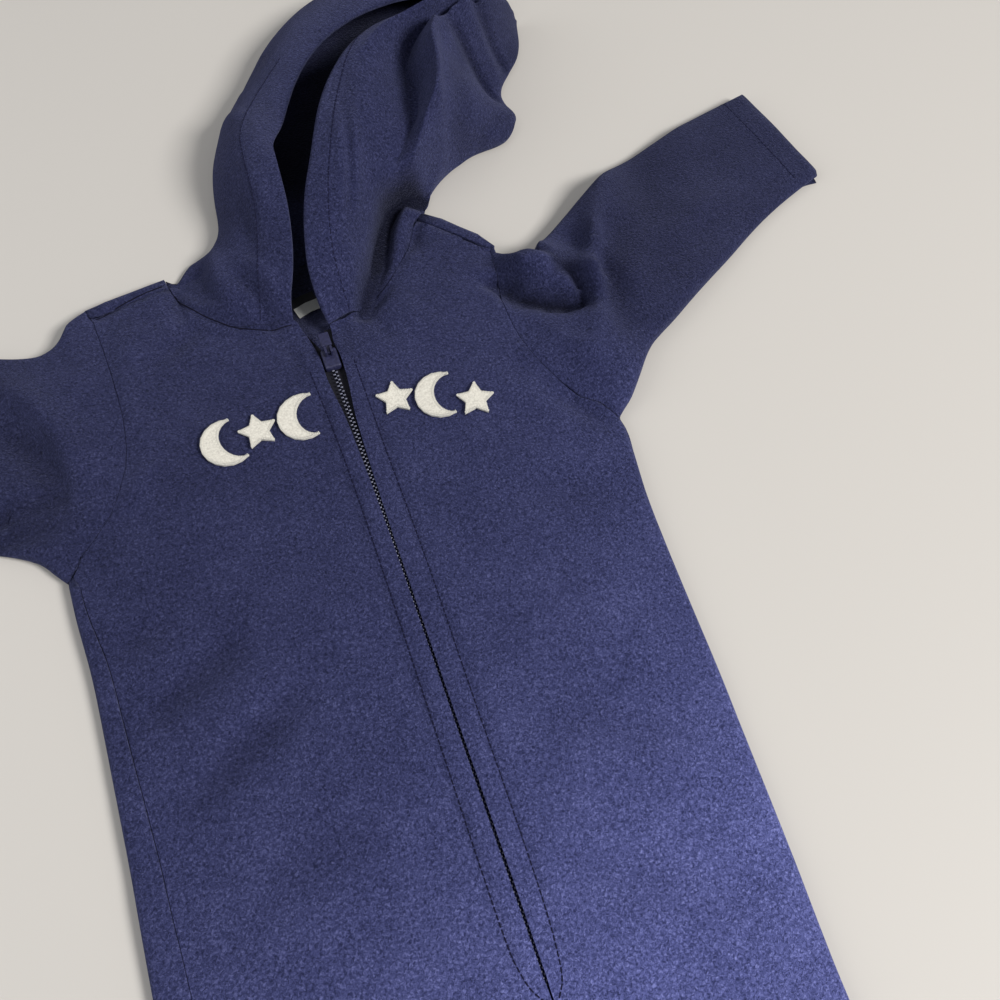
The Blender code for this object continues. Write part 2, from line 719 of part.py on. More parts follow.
def motif(number, row, surface):
    """A felt shape that lies on a front: each of its points is on that front, moved out."""
    m = row_dict(MOTIF_FIELDS, row)
    turn = math.radians(m["turn"])
    grid = []
    for ring in (star_rings() if m["kind"] == "star" else moon_rings()):
        line = []
        for u, v in ring:
            x = m["x"] + u * math.cos(turn) - v * math.sin(turn)
            y = m["y"] + u * math.sin(turn) + v * math.cos(turn)
            hit = surface.ray_cast(Vector((x, y, 100.0)) * MM, Vector((0, 0, -1)))[0]
            line.append(hit / MM + Vector((0, 0, FELT_LIFT)))
        grid.append(line)
    mesh = bmesh.new()
    add_grid(mesh, grid)
    return add_object(f"{m['kind']}_{number}", mesh, "cream_felt", FELT_THICK, outward=True)


def clear_scene():
    for old in list(bpy.data.objects):
        bpy.data.objects.remove(old)


def collection(name):
    made = bpy.data.collections.new(name)
    bpy.context.scene.collection.children.link(made)
    return made


clear_scene()
COLLECTION = collection("onesie")
CUTTERS = collection("cutters")
back()
fronts = {-1: front("front_right", RIGHT_HALF, -1), 1: front("front_left", LEFT_HALF, 1)}
surfaces = {side: surface_of(made) for side, made in fronts.items()}
sleeve("sleeve_right", RIGHT_SLEEVE, RIGHT_HALF, RIGHT_SLEEVE_FOLDS, -1)
sleeve("sleeve_left", LEFT_SLEEVE, LEFT_HALF, LEFT_SLEEVE_FOLDS, 1)
hood_left()
hood_right()
zip_tape("zip_tape_right", -1)
zip_tape("zip_tape_left", 1)
zip_slider()
pull_tab()
neck_label()
for number, row in enumerate(MOTIF, 1):
    motif(number, row, surfaces[-1 if row[1] < 0 else 1])
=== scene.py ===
"""Looks of the hooded fleece onesie, laid flat on its back on a pale floor.

Each cloth piece is grown from its own CAD solid: the faces are joined to quads, subdivided and
given the creases listed here. Sizes are in millimetres where a name ends in _MM or a table says
so, and in metres elsewhere.
"""

import json
import math

import bmesh
import bpy
import numpy as np
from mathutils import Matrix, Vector, noise
from mathutils.bvhtree import BVHTree


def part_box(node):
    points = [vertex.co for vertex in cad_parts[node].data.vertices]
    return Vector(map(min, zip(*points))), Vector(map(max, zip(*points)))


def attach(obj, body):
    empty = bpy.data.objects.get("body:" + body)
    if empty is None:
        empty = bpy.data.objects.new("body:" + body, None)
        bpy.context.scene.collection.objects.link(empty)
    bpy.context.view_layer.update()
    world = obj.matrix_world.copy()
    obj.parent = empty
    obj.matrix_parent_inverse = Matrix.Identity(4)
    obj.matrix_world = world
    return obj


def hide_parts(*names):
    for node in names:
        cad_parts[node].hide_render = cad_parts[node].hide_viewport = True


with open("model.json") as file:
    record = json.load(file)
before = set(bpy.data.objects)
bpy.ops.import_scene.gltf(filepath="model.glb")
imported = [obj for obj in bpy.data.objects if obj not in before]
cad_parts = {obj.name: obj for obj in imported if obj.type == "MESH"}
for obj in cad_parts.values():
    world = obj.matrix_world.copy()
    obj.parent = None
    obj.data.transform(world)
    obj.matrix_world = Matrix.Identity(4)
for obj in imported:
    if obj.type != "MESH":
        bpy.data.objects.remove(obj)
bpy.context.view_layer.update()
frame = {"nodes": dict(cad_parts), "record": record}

MM = 0.001
SHARP = math.radians(55)  # an edge that turns more than this stays sharp
UP = Vector((0, 0, 1))
FAR = 1e9                 # further than any place on the garment
FLEECE = ("back", "front_right", "front_left", "sleeve_right", "sleeve_left",
          "hood_right", "hood_left")
FELT = ("moon", "star")   # how the names of the felt shapes start


# ---------------------------------------------------------------- materials

def new_material(name, colour, roughness):
    made = bpy.data.materials.new(name)
    made.use_nodes = True
    shader = made.node_tree.nodes["Principled BSDF"]
    shader.inputs["Base Color"].default_value = (*colour, 1)
    shader.inputs["Roughness"].default_value = roughness
    return made, made.node_tree, shader


def node(tree, kind, **values):
    made = tree.nodes.new(kind)
    for name, value in values.items():
        if hasattr(made, name):
            setattr(made, name, value)
        else:
            made.inputs[name.replace("_", " ")].default_value = value
    return made


def ramp(tree, source, stops):
    """A colour ramp fed by a socket; stops are (place, colour)."""
    made = tree.nodes.new("ShaderNodeValToRGB")
    elements = made.color_ramp.elements
    while len(elements) < len(stops):
        elements.new(0.5)
    for element, (place, colour) in zip(elements, stops):
        element.position = place
        element.color = (*colour, 1)
    tree.links.new(source, made.inputs["Fac"])
    return made.outputs["Color"]


def math_node(tree, operation, a, b):
    made = tree.nodes.new("ShaderNodeMath")
    made.operation = operation
    for socket, value in zip(made.inputs, (a, b)):
        if isinstance(value, (int, float)):
            socket.default_value = value
        else:
            tree.links.new(value, socket)
    return made.outputs[0]


def bump_from(tree, shader, height, strength, depth):
    """Raises the shader's surface by a height socket."""
    bump = node(tree, "ShaderNodeBump", Strength=strength, Distance=depth)
    tree.links.new(height, bump.inputs["Height"])
    tree.links.new(bump.outputs["Normal"], shader.inputs["Normal"])


# Painted light, paler toward the hems, as (share of the way from the start to the end value along
# the direction below, brightness)
PAINTED_LIGHT_ALONG = (0.45, -0.90, 0.0)
PAINTED_LIGHT_START, PAINTED_LIGHT_END = -0.05, 0.35
PAINTED_LIGHT_BRIGHT = 3.0          # the stops are divided by this, as a ramp holds nothing over 1
PAINTED_LIGHT = [(0.0, 0.66), (0.12, 0.68), (0.37, 0.86), (0.57, 1.10), (0.71, 1.50), (0.95, 2.60)]

# Painted shade on the sleeves deepens from SLEEVE_FROM to SLEEVE_TO out from the zip, above the
# armpits
SLEEVE_FROM, SLEEVE_TO = 0.115, 0.20
SLEEVE_PAINTED_SHADE = {"right": 0.78, "left": 0.56}
BELOW_ARMPIT, AT_ARMPIT = -0.09, -0.05
HOLLOW_SHADE = 0.16       # painted shade: the brightness left at the bottom of a deep crease

# The pile's texture: the scale of each noise, and its share in the colour
PILE_SCALE, PILE_SHARE = 820.0, 0.74
HAIR_SCALE, HAIR_SHARE = 2400.0, 0.14
CLOUD_SCALE, CLOUD_SHARE = 34.0, 0.12
HAIR_HEIGHT = 0.25        # the hairs' height beside that of the pile
PILE_DEPTH = 1.4 * MM
PILE_COLOURS = [
    (0.36, (0.012, 0.014, 0.044)),
    (0.46, (0.027, 0.031, 0.089)),
    (0.55, (0.044, 0.049, 0.132)),
    (0.66, (0.086, 0.094, 0.220)),
]


def painted_light_and_shade(tree, place):
    """Painted light and shade: paler toward the wearer's left leg, darker out along the sleeves."""
    far = node(tree, "ShaderNodeVectorMath")
    far.operation = "DOT_PRODUCT"
    tree.links.new(place, far.inputs[0])
    far.inputs[1].default_value = PAINTED_LIGHT_ALONG
    share = node(tree, "ShaderNodeMapRange", From_Min=PAINTED_LIGHT_START, From_Max=PAINTED_LIGHT_END)
    tree.links.new(far.outputs["Value"], share.inputs["Value"])
    stops = [(at, (bright / PAINTED_LIGHT_BRIGHT,) * 3) for at, bright in PAINTED_LIGHT]
    tone = ramp(tree, share.outputs["Result"], stops)
    split = node(tree, "ShaderNodeSeparateXYZ")
    tree.links.new(place, split.inputs[0])
    arms = []
    for side, sign in (("right", -1), ("left", 1)):
        arm = node(tree, "ShaderNodeMapRange", From_Min=SLEEVE_FROM, From_Max=SLEEVE_TO,
                   To_Min=1.0, To_Max=SLEEVE_PAINTED_SHADE[side])
        arm.interpolation_type = "SMOOTHSTEP"
        out = math_node(tree, "MULTIPLY", split.outputs["X"], sign)
        tree.links.new(out, arm.inputs["Value"])
        arms.append(arm.outputs["Result"])
    both = math_node(tree, "MULTIPLY", math_node(tree, "MULTIPLY", *arms), PAINTED_LIGHT_BRIGHT)
    high = node(tree, "ShaderNodeMapRange", From_Min=BELOW_ARMPIT, From_Max=AT_ARMPIT)
    tree.links.new(split.outputs["Y"], high.inputs["Value"])
    mixed = node(tree, "ShaderNodeMix")
    mixed.inputs["A"].default_value = PAINTED_LIGHT_BRIGHT
    tree.links.new(high.outputs["Result"], mixed.inputs["Factor"])
    tree.links.new(both, mixed.inputs["B"])
    return math_node(tree, "MULTIPLY", tone, mixed.outputs["Result"])


def fleece_material():
    """Navy micro-fleece: curly pile in short clumps, paler fibre tips and a soft sheen.

    Painted light pales it from the shoulders down to the hems; painted shade darkens the sleeves,
    creases and hood slot.
    """
    made, tree, shader = new_material("navy_fleece", (0.035, 0.038, 0.090), 0.95)
    place = node(tree, "ShaderNodeTexCoord").outputs["Object"]
    pile = node(tree, "ShaderNodeTexNoise", Scale=PILE_SCALE, Detail=3.0, Roughness=0.6,
                Distortion=0.7)
    hairs = node(tree, "ShaderNodeTexNoise", Scale=HAIR_SCALE, Detail=2.0, Roughness=0.5)
    cloud = node(tree, "ShaderNodeTexNoise", Scale=CLOUD_SCALE, Detail=3.0, Roughness=0.55)
    parts = []
    for texture, part in ((pile, PILE_SHARE), (hairs, HAIR_SHARE), (cloud, CLOUD_SHARE)):
        tree.links.new(place, texture.inputs["Vector"])
        parts.append(math_node(tree, "MULTIPLY", texture.outputs["Fac"], part))
    mixed = math_node(tree, "ADD", math_node(tree, "ADD", parts[0], parts[1]), parts[2])
    colour = ramp(tree, mixed, PILE_COLOURS)
    painted_shade = node(tree, "ShaderNodeAttribute", attribute_name="painted_shade")
    kept = node(tree, "ShaderNodeMapRange", To_Min=1.0, To_Max=HOLLOW_SHADE)
    tree.links.new(painted_shade.outputs["Fac"], kept.inputs["Value"])
    shade = math_node(tree, "MULTIPLY", painted_light_and_shade(tree, place), kept.outputs["Result"])
    painted_colour = node(tree, "ShaderNodeVectorMath")
    painted_colour.operation = "SCALE"
    tree.links.new(colour, painted_colour.inputs[0])
    tree.links.new(shade, painted_colour.inputs["Scale"])
    tree.links.new(painted_colour.outputs["Vector"], shader.inputs["Base Color"])
    height = math_node(tree, "ADD", pile.outputs["Fac"],
                       math_node(tree, "MULTIPLY", hairs.outputs["Fac"], HAIR_HEIGHT))
    bump_from(tree, shader, height, 0.9, PILE_DEPTH)
    shader.inputs["Sheen Weight"].default_value = 0.18
    shader.inputs["Sheen Roughness"].default_value = 0.5
    shader.inputs["Sheen Tint"].default_value = (0.50, 0.54, 0.90, 1)
    shader.inputs["Specular IOR Level"].default_value = 0.06
    return made


def woven_material(name, colour, pale, scale, roughness=0.85):
    """A fine plain weave from two crossed waves."""
    made, tree, shader = new_material(name, colour, roughness)
    place = node(tree, "ShaderNodeTexCoord").outputs["Object"]
    waves = []
    for direction in ("X", "Y"):
        wave = node(tree, "ShaderNodeTexWave", Scale=scale, Distortion=0.6)
        wave.bands_direction = direction
        tree.links.new(place, wave.inputs["Vector"])
        waves.append(wave.outputs["Fac"])
    both = math_node(tree, "MULTIPLY", waves[0], waves[1])
    tree.links.new(ramp(tree, both, [(0.1, colour), (0.8, pale)]), shader.inputs["Base Color"])
    bump_from(tree, shader, both, 0.5, 0.3 * MM)
    return made


LABEL_TURN = math.radians(14)
LABEL_BAND_Y = 0.0445
LABEL_DARK = (0.008, 0.009, 0.014, 1)


def label_material():
    """A satin label whose upper half is woven dark, left blank."""
    made = woven_material("label_cloth", (0.50, 0.51, 0.50), (0.66, 0.67, 0.66), 1600.0, 0.6)
    tree = made.node_tree
    shader = tree.nodes["Principled BSDF"]
    pale = shader.inputs["Base Color"].links[0].from_socket
    place = node(tree, "ShaderNodeTexCoord").outputs["Object"]
    up = node(tree, "ShaderNodeVectorMath")
    up.operation = "DOT_PRODUCT"
    tree.links.new(place, up.inputs[0])
    up.inputs[1].default_value = (-math.sin(LABEL_TURN), math.cos(LABEL_TURN), 0)
    dark = math_node(tree, "GREATER_THAN", up.outputs["Value"], LABEL_BAND_Y)
    mixed = node(tree, "ShaderNodeMix", data_type="RGBA")   # its colours are inputs 6 and 7
    tree.links.new(dark, mixed.inputs["Factor"])
    tree.links.new(pale, mixed.inputs[6])
    mixed.inputs[7].default_value = LABEL_DARK
    tree.links.new(mixed.outputs[2], shader.inputs["Base Color"])
    return made


def felt_material():
    """Cream felt: matted fibres with small pale and grey flecks."""
    made, tree, shader = new_material("cream_felt", (0.70, 0.66, 0.56), 0.95)
    place = node(tree, "ShaderNodeTexCoord").outputs["Object"]
    fibre = node(tree, "ShaderNodeTexNoise", Scale=900.0, Detail=5.0, Roughness=0.7)
    tree.links.new(place, fibre.inputs["Vector"])
    colour = ramp(tree, fibre.outputs["Fac"], [
        (0.3, (0.52, 0.49, 0.43)), (0.55, (0.72, 0.69, 0.61)), (0.8, (0.84, 0.82, 0.75)),
    ])
    tree.links.new(colour, shader.inputs["Base Color"])
    bump_from(tree, shader, fibre.outputs["Fac"], 0.6, 0.5 * MM)
    shader.inputs["Sheen Weight"].default_value = 0.3
    return made


def thread_material(name, colour):
    """Twisted thread, darker between the strands."""
    made, tree, shader = new_material(name, colour, 0.6)
    place = node(tree, "ShaderNodeTexCoord").outputs["Object"]
    twist = node(tree, "ShaderNodeTexWave", Scale=900.0, Distortion=1.0)
    tree.links.new(place, twist.inputs["Vector"])
    shader.inputs["Specular IOR Level"].default_value = 0.1
    deep = tuple(part * 0.7 for part in colour)
    tone = ramp(tree, twist.outputs["Fac"], [(0.0, deep), (1.0, colour)])
    tree.links.new(tone, shader.inputs["Base Color"])
    bump_from(tree, shader, twist.outputs["Fac"], 0.4, 0.2 * MM)
    return made


def plastic_material(name, colour, rough):
    """Moulded plastic with faint handling marks."""
    made, tree, shader = new_material(name, colour, rough)
    place = node(tree, "ShaderNodeTexCoord").outputs["Object"]
    wear = node(tree, "ShaderNodeTexNoise", Scale=700.0, Detail=3.0)
    tree.links.new(place, wear.inputs["Vector"])
    worn = tuple(part * 1.8 for part in colour)
    tone = ramp(tree, wear.outputs["Fac"], [(0.35, colour), (0.7, worn)])
    tree.links.new(tone, shader.inputs["Base Color"])
    scuffs = node(tree, "ShaderNodeMapRange", From_Min=0.3, From_Max=0.7,
                  To_Min=rough, To_Max=rough + 0.2)
    tree.links.new(wear.outputs["Fac"], scuffs.inputs["Value"])
    tree.links.new(scuffs.outputs["Result"], shader.inputs["Roughness"])
    return made


MATERIALS = {
    "navy_fleece": fleece_material(),
    "zip_tape": woven_material(
        "zip_tape", (0.004, 0.004, 0.010), (0.012, 0.013, 0.030), 1400.0,
    ),
    "zip_plastic": plastic_material("zip_plastic", (0.016, 0.017, 0.048), 0.30),
    # the teeth are painted paler than the slider, so that each shows as a painted highlight dot
    "zip_teeth": plastic_material("zip_teeth", (0.110, 0.115, 0.160), 0.18),
    "cream_felt": felt_material(),
    "label_cloth": label_material(),
    "navy_thread": thread_material("navy_thread", (0.012, 0.013, 0.042)),
    "seam_shade": thread_material("seam_shade", (0.007, 0.007, 0.020)),
    "cream_thread": thread_material("cream_thread", (0.74, 0.72, 0.66)),
}


# ---------------------------------------------------------------- cloth from the solids

MERGE = 0.02 * MM         # points nearer than this are one point
JOIN_TURN = math.radians(50)
JOIN_SHAPE = math.radians(70)
HOLD_ROUNDS = 8


def cage(name):
    """The solid's mesh with its triangles joined back to quads."""
    mesh = bmesh.new()
    mesh.from_mesh(frame["nodes"][name].data)
    bmesh.ops.remove_doubles(mesh, verts=mesh.verts, dist=MERGE)
    bmesh.ops.join_triangles(
        mesh, faces=mesh.faces, angle_face_threshold=JOIN_TURN, angle_shape_threshold=JOIN_SHAPE,
    )
    return mesh


def hold_edges(mesh, crease):
    """Moves the creased points out, so that the smoothed edge passes through the solid's points.

    Subdivision takes a point on a crease to a sixth of (4 x itself + its two neighbours).
    """
    goals = {}
    for vertex in mesh.verts:
        ends = [edge.other_vert(vertex) for edge in vertex.link_edges if edge[crease] > 0]
        if len(ends) == 2:
            goals[vertex] = (ends[0], ends[1], vertex.co.copy())
    for _ in range(HOLD_ROUNDS):
        steps = {
            vertex: goal - (vertex.co * 4 + before.co + after.co) / 6
            for vertex, (before, after, goal) in goals.items()
        }
        for vertex, step in steps.items():
            vertex.co += step


def grown(name, levels):
    """A new piece: the cage of a node, subdivided, with its cut edges kept where the seams meet."""
    mesh = cage(name)
    crease = mesh.edges.layers.float.new("crease_edge")
    for edge in mesh.edges:
        if len(edge.link_faces) == 2 and edge.calc_face_angle(0) > SHARP:
            edge[crease] = 1.0
    hold_edges(mesh, crease)
    data = bpy.data.meshes.new(name + "_cloth")
    mesh.to_mesh(data)
    mesh.free()
    made = bpy.data.objects.new(name + "_cloth", data)
    bpy.context.scene.collection.objects.link(made)
    smooth = made.modifiers.new("Smooth", "SUBSURF")
    smooth.levels = smooth.render_levels = levels
    bpy.context.view_layer.update()
    graph = bpy.context.evaluated_depsgraph_get()
    finished = bpy.data.meshes.new_from_object(made.evaluated_get(graph))
    made.modifiers.clear()
    made.data = finished
    finished.shade_smooth()
    return made


# A fold runs from (x0, y0) to (x1, y1) in mm, bowed sideways by bow to its left. It rises by high,
# or sinks where that is negative, and dies away within left and right mm on its two sides.
FOLD_FIELDS = ("x0", "y0", "x1", "y1", "bow", "high", "left", "right")
BODY_FOLDS = [
    (-138, -168, -82, -141, 3, -4.6, 7, 9),
    (-126, -210, -58, -176, 4, -4.4, 8, 11),
    (-112, -190, -70, -160, 3, 1.6, 10, 10),
    (-146, -128, -112, -118, 0, -2.0, 6, 8),
    (-110, -262, -40, -240, 2, -1.8, 12, 14),
    (60, -112, 120, -128, 4, -1.6, 12, 10),
    (40, -222, 116, -256, -3, -1.9, 14, 12),
    (20, -300, 100, -340, 4, -1.6, 14, 12),
    (-96, -350, -30, -330, 4, -1.6, 12, 12),
    (-124, -386, -46, -402, 3, -2.8, 9, 11),
    (-38, -436, -120, -470, -4, -2.6, 10, 8),
    (-112, -520, -52, -540, 3, -2.4, 8, 10),
    (-84, -470, -92, -560, 3, 1.8, 10, 10),
    (28, -384, 104, -404, 4, -2.6, 9, 11),
    (106, -448, 24, -480, -4, -2.8, 9, 10),
    (34, -532, 92, -520, 3, -2.2, 8, 9),
    (66, -400, 74, -540, -4, 1.8, 11, 9),
    (-12, -10, -10.5, -318, -1, -1.5, 2.2, 2.6),
    (12.3, -10, 10.5, -318, 1, -1.5, 2.6, 2.4),
    (6, -30, 6, -320, 0, 0.9, 4, 4),
    (-6, -30, -6, -320, 0, 0.9, 4, 4),
    (18, -40, 16, -310, -2, 1.3, 4, 7),
    (-72, 74, -71, 50, 0, -2.6, 3, 4),
    (-60, 50, -90, 30, 2, -1.6, 5, 6),
    (-98, 62, -102, -30, -10, 2.6, 9, 8),
    (-102, -30, -126, -58, -2, 2.2, 7, 8),
    (-84, 20, -60, -70, 6, -1.4, 12, 12),
    (-24, 28, -17, -14, 2, -2.0, 3, 3),
    (-17, 30, -12, -8, 1, 1.4, 3, 3),
    (15, 24, 13, -10, -1, -1.8, 3, 3),
    (26, 26, 36, 0, 2, -1.5, 5, 5),
    (44, 34, 60, -10, 3, 1.2, 8, 8),
    (98, 46, 95, -20, 6, 2.0, 7, 8),
    (95, -18, 120, -60, 4, 2.0, 7, 8),
    (74, 76, 68, 56, 0, -1.8, 4, 4),
    (108, -58, 132, -92, 2, -2.4, 5, 6),
    (84, -40, 104, -96, 6, 1.4, 10, 9),
]
SLEEVE_FOLDS = [
    (-176, 42, -143, -40, 8, 6.0, 12, 4),
    (-184, 20, -150, -44, 6, -5.0, 8, 9),
    (-206, -44, -146, -38, 2, -5.5, 3, 6),
    (-214, -56, -150, -54, 2, -4.0, 4, 5),
    (-250, -60, -160, -74, -3, -2.6, 6, 6),
    (-262, 10, -196, -2, 4, -2.8, 8, 9),
    (116, 30, 136, 8, -3, 5.0, 8, 6),
    (104, 17, 153, -13, -4, -15.0, 3.5, 6),
    (97, 27, 118, 12, -1, -8.0, 4, 5),
    (114, 40, 141, 6, 6, -7.0, 4, 4),
    (142, 20, 148, -16, 3, -11.0, 6, 4),
    (176, 44, 154, -20, -4, 4.0, 4, 3),
    (156, -22, 134, -52, -3, 3.0, 4, 3),
    (188, 62, 150, -36, -6, 6.0, 4, 10),
    (197, 40, 160, -44, -8, -4.6, 10, 10),
    (150, -36, 130, -60, -2, 3.6, 4, 7),
    (118, -22, 138, -52, 2, 2.2, 7, 7),
    (128, 6, 152, 26, -4, -3.0, 6, 6),
    (152, 34, 168, -16, 4, -2.6, 7, 7),
    (230, 96, 206, 24, -4, -2.2, 12, 14),
    (262, 110, 240, 52, 3, 1.8, 10, 12),
    (210, 10, 260, 44, 3, 2.0, 9, 9),
]
HOOD_FOLDS = [
    (128, 202, 98, 80, -3, 9.0, 3, 10),
    (113, 190, 80, 104, -2, -2.2, 9, 11),
    (140, 184, 113, 98, -3, -3.6, 8, 5),
    (102, 89, 54, 83, -9, -22.0, 6, 3.0),
    (66, 93, 40, 50, -3, -19.0, 7, 2.8),
    (46, 62, 22, 20, -1, -11.0, 8, 3.5),
    (96, 205, 130, 205, 2, -7.0, 5, 3.5),
    (130, 190, 156, 152, 3, -7.0, 3.5, 7),
    (146, 206, 172, 180, 2, -5.0, 3.5, 5),
    (138, 204, 166, 166, 2, 3.0, 5, 5),
    (30, 72, 46, 132, -2, 2.2, 3, 3),
    (37, 68, 55, 130, -2, 2.2, 3, 3),
    (34, 70, 51, 131, -2, -2.0, 2, 2),
    (60, 170, 54, 110, -4, -2.0, 8, 8),
    (156, 142, 116, 110, 0, -2.2, 2, 2),
    (-36, 68, -25, 27, 2, -3.2, 4, 3),
    (-28, 72, -16, 34, 2, 2.2, 4, 4),
    (-46, 96, -40, 44, -3, 2.4, 5, 5),
    (-54, 90, -50, 50, -3, -2.0, 5, 5),
    (-26, 126, -24, 66, 3, -2.2, 5, 6),
    (-14, 130, -12, 80, 2, 1.8, 5, 5),
    (-46, 150, -30, 100, -4, -2.2, 7, 7),
    (-24, 194, -8, 160, 3, 2.6, 7, 7),
    (-2, 208, 22, 232, -3, -2.6, 6, 8),
]
FOLDS = BODY_FOLDS + SLEEVE_FOLDS + HOOD_FOLDS
FOLD_STEPS = 10
FOLD_END = 0.12           # the share of its height that a fold has at its two ends
FOLD_BLUNT = 2.5          # the larger this is, the later a fold falls off toward its ends
FLAT_Z_MM = 2.0           # nothing moves below this height, where the back rests
FREE_Z_MM = 7.5           # above it a fold has its full height
LEAST_LEFT = 0.25         # the share of a point's height that the deepest crease leaves
DEEP_MM = 13.0            # a crease this deep is painted fully dark, as shade
CALM_REACH_MM = 6.0       # folds die away over this much round the zip and the felt shapes
CALM_LEFT = 0.3           # the share of a fold that is left on them

# The hood's slot gets no light below SLOT_Z_MM. It runs from (x0, y0) to (x1, y1) in mm.
SLOT = (22, 146, 98, 244)
SLOT_WIDE_MM = 27.0
SLOT_Z_MM, SLOT_FADE_MM = 26.0, 12.0
UNDER_Z_MM = 1.0          # the hood's underside, below this, isn't in the slot

# Sewn seams, as places in mm. Each is a shallow groove; a drawn one also has a line of painted
# shade in it.
SEAMS = {
    "neck_seam_right": [(-73, 74), (-69, 64), (-62, 54), (-54, 45), (-44, 37), (-30, 31),
                        (-15, 29)],
    "neck_seam_left": [(15, 25), (27, 27), (38, 31), (50, 42), (59, 54), (70, 68), (76, 79)],
    "shoulder_seam_right": [(-116, 69), (-104, 73), (-90, 77), (-76, 80)],
    "placket_seam_right": [(-12, -24), (-10.5, -120), (-10.5, -200), (-11, -318)],
    "placket_seam_left": [(13, -24), (12.5, -130), (11.5, -200), (10.5, -318)],
}
DRAWN_SEAMS = ("neck_seam_right", "shoulder_seam_right")
SEAM_SINK_MM = -1.5
SEAM_WIDE_MM = 2.6
SEAM_PUCKER, SEAM_PUCKER_WAVE_MM = 0.5, 9.0


def fold_path(f):
    """Points along a fold, bowed to its left as a parabola."""
    start = np.array([f["x0"], f["y0"]])
    end = np.array([f["x1"], f["y1"]])
    way = (end - start) / np.hypot(*(end - start))
    left = np.array([-way[1], way[0]])
    t = np.linspace(0, 1, FOLD_STEPS + 1)[:, None]
    return start + (end - start) * t + left * f["bow"] * 4 * t * (1 - t)


def seam_lift(points):
    """The grooves of the sewn seams, with a slight pucker along them."""
    total = np.zeros(len(points))
    for path in SEAMS.values():
        best = np.full(len(points), FAR)
        for a, b in zip(np.array(path, float), np.array(path, float)[1:]):
            way = b - a
            t = np.clip(((points - a) @ way) / (way @ way), 0, 1)
            best = np.minimum(best, np.linalg.norm(points - a - t[:, None] * way, axis=1))
        pucker = 1 + SEAM_PUCKER * np.sin((points[:, 0] + points[:, 1]) / SEAM_PUCKER_WAVE_MM)
        total += SEAM_SINK_MM * pucker * np.exp(-(best / SEAM_WIDE_MM) ** 2)
    return total


def fold_lift(points, folds):
    """The lift in mm at each (x, y) in mm."""
    total = np.zeros(len(points))
    for row in folds:
        f = dict(zip(FOLD_FIELDS, row))
        path = fold_path(f)
        best = np.full(len(points), FAR)
        lift = np.zeros(len(points))
        for i, (a, b) in enumerate(zip(path, path[1:])):
            way = b - a
            long2 = way @ way
            t = np.clip(((points - a) @ way) / long2, 0, 1)
            off = points - a - t[:, None] * way
            far = np.hypot(off[:, 0], off[:, 1])
            side = way[0] * off[:, 1] - way[1] * off[:, 0]
            wide = np.where(side > 0, f["left"], f["right"])
            along = (i + t) / FOLD_STEPS
            strength = 1 - np.abs(2 * along - 1) ** FOLD_BLUNT
            share = FOLD_END + (1 - FOLD_END) * strength
            here = f["high"] * share * np.exp(-(far / wide) ** 2)
            nearer = far < best
            best = np.where(nearer, far, best)
            lift = np.where(nearer, here, lift)
        total += lift
    return total


# Waves of the whole cloth: wavelength in mm and height in mm
UNEVEN = [(62, 0.9), (24, 0.45), (9, 0.16)]


def uneven_lift(points):
    """The slow waves of the whole cloth, in mm."""
    total = np.zeros(len(points))
    for wave, high in UNEVEN:
        total += [high * noise.noise(Vector((x / wave, y / wave, wave))) for x, y in points]
    return total


def calm(points):
    """How much of a fold is left near the zip and the felt shapes, which don't move."""
    left = np.ones(len(points))
    for name in frame["nodes"]:
        if not name.startswith(FELT + ("zip",)):
            continue
        low, high = (np.array(corner[:2]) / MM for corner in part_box(name))
        off = np.maximum(np.maximum(low - points, points - high), 0)
        far = np.clip(np.hypot(off[:, 0], off[:, 1]) / CALM_REACH_MM, 0, 1)
        left = np.minimum(left, CALM_LEFT + (1 - CALM_LEFT) * far)
    return left


def read_points(made):
    """A piece's points as a table with the columns x, y and z."""
    flat = np.empty(len(made.data.vertices) * 3)
    made.data.vertices.foreach_get("co", flat)
    return flat.reshape(-1, 3)


def write_points(made, points):
    made.data.vertices.foreach_set("co", points.reshape(-1))
    made.data.update()


def slot_shade(plan, high):
    """How unlit a place in the hood's slot is, from 0 to 1."""
    x0, y0, x1, y1 = SLOT
    way = np.array([x1 - x0, y1 - y0], float)
    t = np.clip(((plan - (x0, y0)) @ way) / (way @ way), 0, 1)
    aside = np.linalg.norm(plan - (x0, y0) - t[:, None] * way, axis=1)
    deep = np.clip((SLOT_Z_MM - high) / SLOT_FADE_MM, 0, 1)
    inside = np.clip(high - UNDER_Z_MM, 0, 1)
    return deep * np.exp(-(aside / SLOT_WIDE_MM) ** 4) * inside


def crease_cloth(made):
    """Moves a piece's points up or down by the folds and the cloth's own unevenness.

    How deep a point lies in its crease, or in the hood's slot, is kept as a point attribute for the
    material's painted shade.
    """
    points = read_points(made)
    plan = points[:, :2] / MM
    folds = fold_lift(plan, FOLDS) + seam_lift(plan)
    lift = (folds + uneven_lift(plan)) * calm(plan)
    high = points[:, 2] / MM
    free = np.clip((high - FLAT_Z_MM) / (FREE_Z_MM - FLAT_Z_MM), 0, 1)
    least = np.where(high > FLAT_Z_MM, FLAT_Z_MM + LEAST_LEFT * (high - FLAT_Z_MM), high)
    # painted shade: the colour is darkened by a point's crease depth and by the hood's slot
    dark = np.maximum(np.clip(-folds * free / DEEP_MM, 0, 1), slot_shade(plan, high))
    points[:, 2] = np.maximum(np.maximum(high + lift * free, least), 0) * MM
    painted_shade = made.data.attributes.new("painted_shade", "FLOAT", "POINT")
    painted_shade.data.foreach_set("value", dark.astype(np.float32))
    write_points(made, points)


